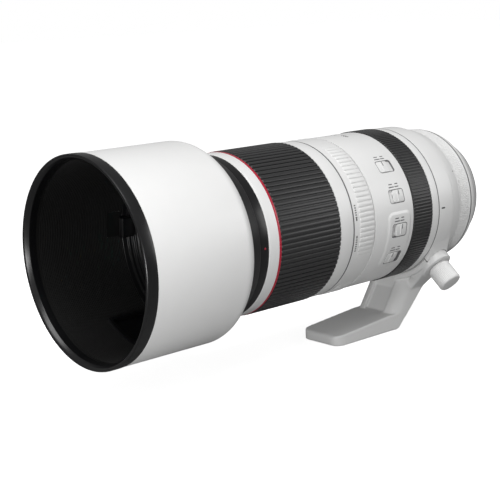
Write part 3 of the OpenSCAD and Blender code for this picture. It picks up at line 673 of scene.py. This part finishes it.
def rear_barrel():
    """Rear housing, tripod ring with painted shade along its split and in its seams, knurled control
    ring, mount seal.
    """
    piece(revolve("rear_housing_body", [(27.3, 2.5), (33.8, 2.5), (33.8, 1.3), (35.4, 1.25, 0.15)]
                  + arc(32.6, 15.2, 9.7, -50, -8, 12)
                  + [(42.3, 15.0, 0.2), (38.6, 15.0), (38.6, 27.7), (43.3, 27.7, 0.2),
                     (43.7, 28.2, 0.3), (45, 33.2, 1.5), (45.5, 36.2, 0.2), (44.2, 36.2),
                     (44.2, 50.9), (42.6, 50.9), (42.6, 28.9), (36.9, 28.9), (36.9, 6.5),
                     (27.3, 6.5)], WHITE, 256), "rear_housing")
    ring = revolve("collar_ring_body", [
        (44.5, COLLAR_S[0]), (45.6, COLLAR_S[0], 0.2), (46.2, COLLAR_S[0] + 0.6, 0.4),
        (46.3, COLLAR_S[1] - 0.4, 0.3), (45.9, COLLAR_S[1], 0.2), (44.5, COLLAR_S[1])],
        WHITE, 256)
    piece(cut(ring, knob_drum("notch", 46.4, 60, 10.4)), "collar_ring")
    collar_lug()
    # Grey rings in the gaps between parts: painted shade in the seams.
    for name, s0, s1, r, node in (("collar_front_seam_shade", 50.68, 51.12, 46.4, "main_barrel"),
                                  ("torque_front_seam_shade", 124.98, 125.46, 46.37, "torque_ring"),
                                  ("control_rear_seam_shade", 14.7, 15.15, 42.4, "rear_housing")):
        extra(revolve(name, [(r - 0.6, s0), (r, s0), (r, s1), (r - 0.6, s1)], GREY_INK_AND_SHADE, 224), node)
    # Dark thin plate along the clamp's split: painted shade in the gap.
    extra(slab("clamp_split_shade", (18.6, 0.3, 0.1), 46.45, 49.5, 40.9, 133.8, SPLIT_SHADE), "collar_ring")

    def control_r(s):
        return 42.45 + 0.6 * (s - CONTROL_S[0]) / (CONTROL_S[1] - CONTROL_S[0])

    piece(knurled("control_ring_body", CONTROL_S[0], CONTROL_S[1], control_r, 38.9, 112, 8, 0.8,
                  WHITE), "control_ring")
    piece(revolve("mount_seal", [
        (33, 0.2), (34.9, 0.2, 0.2), (35.3, 0.6, 0.2), (35.3, 1.1), (33.8, 1.1), (33.8, 2.3),
        (33, 2.3)], SEAL, 224), "mount_gasket")


# ---------------------------------------------------------------- foot and knob

def on_knob(r, h, angle):
    """Point of the lock knob: radius from its own axis, height along it, angle round it."""
    out = place(1, 0, KNOB_ANGLE) / MM
    side = Vector((out.z, 0, -out.x))
    along = Vector((0, -1, 0))
    a = math.radians(angle)
    mid = out * h + side * KNOB_OFFSET + along * KNOB_S
    return (mid + (side * math.cos(a) + along * math.sin(a)) * r) * MM


def knob_drum(name, h0, h1, r, segments=96):
    """Plain cylinder on the lock knob's axis, used to cut the clamp boss's notch."""
    bm = bmesh.new()
    rows = [[bm.verts.new(on_knob(r, h, 360 * j / segments)) for j in range(segments)]
            for h in (h0, h1)]
    capped(bm, rows)
    return finish_mesh(name, bm, WHITE)


def collar_lug():
    """Lug that flares smoothly from the collar ring up to the clamp boss and stops at the split."""
    low, high = place(46.15, 0, 106.5), place(49.55, 0, 133.5)
    n_a, n_s, soft = 60, 40, 1.6
    front = 50.1
    bm = bmesh.new()
    grid = []
    for i in range(n_a + 1):
        t = i / n_a
        mid = low.lerp(high, t)
        r = math.hypot(mid.x, mid.z) / MM
        angle = math.degrees(math.atan2(mid.x, mid.z))
        rear = 36.9 - 5.7 * t
        row = []
        for j in range(n_s + 1):
            s = rear + (front - rear) * j / n_s
            edge = min(1, min(s - rear, front - s) / soft)
            drop = (r - 45.75) * 0.45 * (1 - math.sqrt(max(0, 1 - (1 - edge) ** 2)))
            row.append(bm.verts.new(place(r - drop, s, angle)))
        grid.append(row)
    extra(cut(thickened("collar_lug", bm, grid, 45.7), knob_drum("notch", 46, 60, 10.4)),
          "collar_ring")


def soften(node, name, voxel, rounds):
    """Smooth cast copy of a CAD node: remeshed finely, then its edges eased."""
    obj = frame["nodes"][node].copy()
    obj.data = frame["nodes"][node].data.copy()
    obj.name = name
    obj.data.name = name
    obj.parent = None
    bpy.context.collection.objects.link(obj)
    remesh = obj.modifiers.new("remesh", "REMESH")
    remesh.mode = "VOXEL"
    remesh.voxel_size = voxel * MM
    ease = obj.modifiers.new("ease", "SMOOTH")
    ease.factor = 0.5
    ease.iterations = rounds
    bpy.context.view_layer.update()
    deps = bpy.context.evaluated_depsgraph_get()
    mesh = bpy.data.meshes.new_from_object(obj.evaluated_get(deps))
    obj.modifiers.clear()
    obj.data = mesh
    for poly in mesh.polygons:
        poly.use_smooth = True
    mesh.materials.clear()
    mesh.materials.append(WHITE)
    return obj


def foot():
    """Cast tripod foot with eased edges."""
    piece(soften("tripod_foot", "foot_casting", 0.5, 12), "tripod_foot")


def knob():
    """Finely grooved lock knob above the foot's clamp boss."""
    grooves, per = 48, 6
    n = grooves * per
    base = BOSS_TOP + 0.4
    end = KNOB_END
    bm = bmesh.new()
    profile = [(2.5, 45, 0), (2.5, base, 0), (6.2, base, 0), (6.3, base + 0.15, 0),
               (6.35, base + 0.5, 0), (6.8, base + 0.7, 0), (7.05, base + 1.0, 0),
               (7.2, base + 1.3, 0.4), (7.28, base + 1.7, 1), (7.28, end - 1.6, 1),
               (7.2, end - 1.2, 0.4), (7.05, end - 0.8, 0), (6.85, end - 0.4, 0),
               (6.5, end - 0.12, 0), (6.1, end, 0), (3, end, 0), (1, end, 0)]
    dip = [1, 0.55, 0, 0, 0, 0.55]
    rows = []
    for r, h, deep in profile:
        rows.append([bm.verts.new(on_knob(r - 0.22 * deep * dip[j % per], h, 360 * j / n))
                     for j in range(n)])
    capped(bm, rows)
    piece(finish_mesh("lock_knob_body", bm, WHITE, 40), "lock_knob")


# ---------------------------------------------------------------- stage

def camera_or_light(tree, seen, lit):
    """Mixes two shaders of a stage tree: the first is what shows, the second what lights the lens."""
    path = tree.nodes.new("ShaderNodeLightPath")
    mix = tree.nodes.new("ShaderNodeMixShader")
    tree.links.new(path.outputs["Is Camera Ray"], mix.inputs["Fac"])
    tree.links.new(lit, mix.inputs[1])
    tree.links.new(seen, mix.inputs[2])
    return mix.outputs["Shader"]


def studio_world(strength):
    """White surround that lights the lens softly at a strength."""
    world = bpy.data.worlds.new("studio")
    bpy.context.scene.world = world
    world.use_nodes = True
    tree = world.node_tree
    shown = tree.nodes["Background"]
    shown.inputs["Color"].default_value = (1, 1, 1, 1)
    light = tree.nodes.new("ShaderNodeBackground")
    light.inputs["Color"].default_value = (1, 1, 1, 1)
    light.inputs["Strength"].default_value = strength
    tree.links.new(camera_or_light(tree, shown.outputs[0], light.outputs[0]),
                   tree.nodes["World Output"].inputs["Surface"])


def floor_material():
    """Matt paper, bright to look at and a quieter reflector under the lens."""
    mat = shader("floor_white", (0.9, 0.9, 0.9), 0.85, tint=0.005, tint_size=200, grain=0.001)
    tree = mat.node_tree
    shown = tree.nodes["Principled BSDF"]
    shown.inputs["Emission Color"].default_value = (1, 1, 1, 1)
    shown.inputs["Emission Strength"].default_value = 0.80
    quiet = tree.nodes.new("ShaderNodeBsdfDiffuse")
    quiet.inputs["Color"].default_value = (0.25, 0.25, 0.25, 1)
    tree.links.new(camera_or_light(tree, shown.outputs["BSDF"], quiet.outputs["BSDF"]),
                   tree.nodes["Material Output"].inputs["Surface"])
    return mat


def stage():
    """White floor and surround, soft boxes, and the camera."""
    bpy.ops.mesh.primitive_plane_add(size=12, location=(0, 0, cad_box[0][2] - 0.0002))
    floor = bpy.context.object
    floor.name = "floor"
    floor.data.materials.append(floor_material())
    studio_world(0.26)

    def softbox(name, location, target, size, power):
        light = bpy.data.lights.new(name, "AREA")
        light.shape = "RECTANGLE"
        light.size, light.size_y = size
        light.energy = power
        obj = bpy.data.objects.new(name, light)
        obj.location = location
        obj.rotation_euler = (Vector(target) - Vector(location)).to_track_quat("-Z", "Y").to_euler()
        bpy.context.collection.objects.link(obj)

    front = (0, -0.2, 0)
    softbox("key_box", (0.24, -0.48, 0.86), front, (0.9, 0.6), 7.8)
    softbox("front_box", (0.34, -0.64, -0.03), (0.05, -0.25, -0.02), (0.3, 0.08), 1.35)
    softbox("side_box", (0.72, 0.72, 0.34), (0, -0.12, 0), (0.5, 0.5), 2.0)

    camera = bpy.data.cameras.new("camera")
    camera.sensor_width = 36
    camera.lens = 85.61
    camera.clip_start = 0.01
    obj = bpy.data.objects.new("camera", camera)
    up = Vector((-0.12872, 0.16569, 0.97774))
    forward = Vector((-0.73572, 0.64514, -0.20619))
    right = forward.cross(up).normalized()
    obj.matrix_world = Matrix.Translation((0.50134, -0.60298, 0.12845)) @ Matrix(
        (right, up, -forward)).transposed().to_4x4()
    bpy.context.collection.objects.link(obj)
    bpy.context.scene.camera = obj
    bpy.context.scene.view_settings.view_transform = "Standard"


hood()
front_barrel()
grips()
torque_ring()
main_barrel()
marks()
rear_barrel()
foot()
knob()
stage()
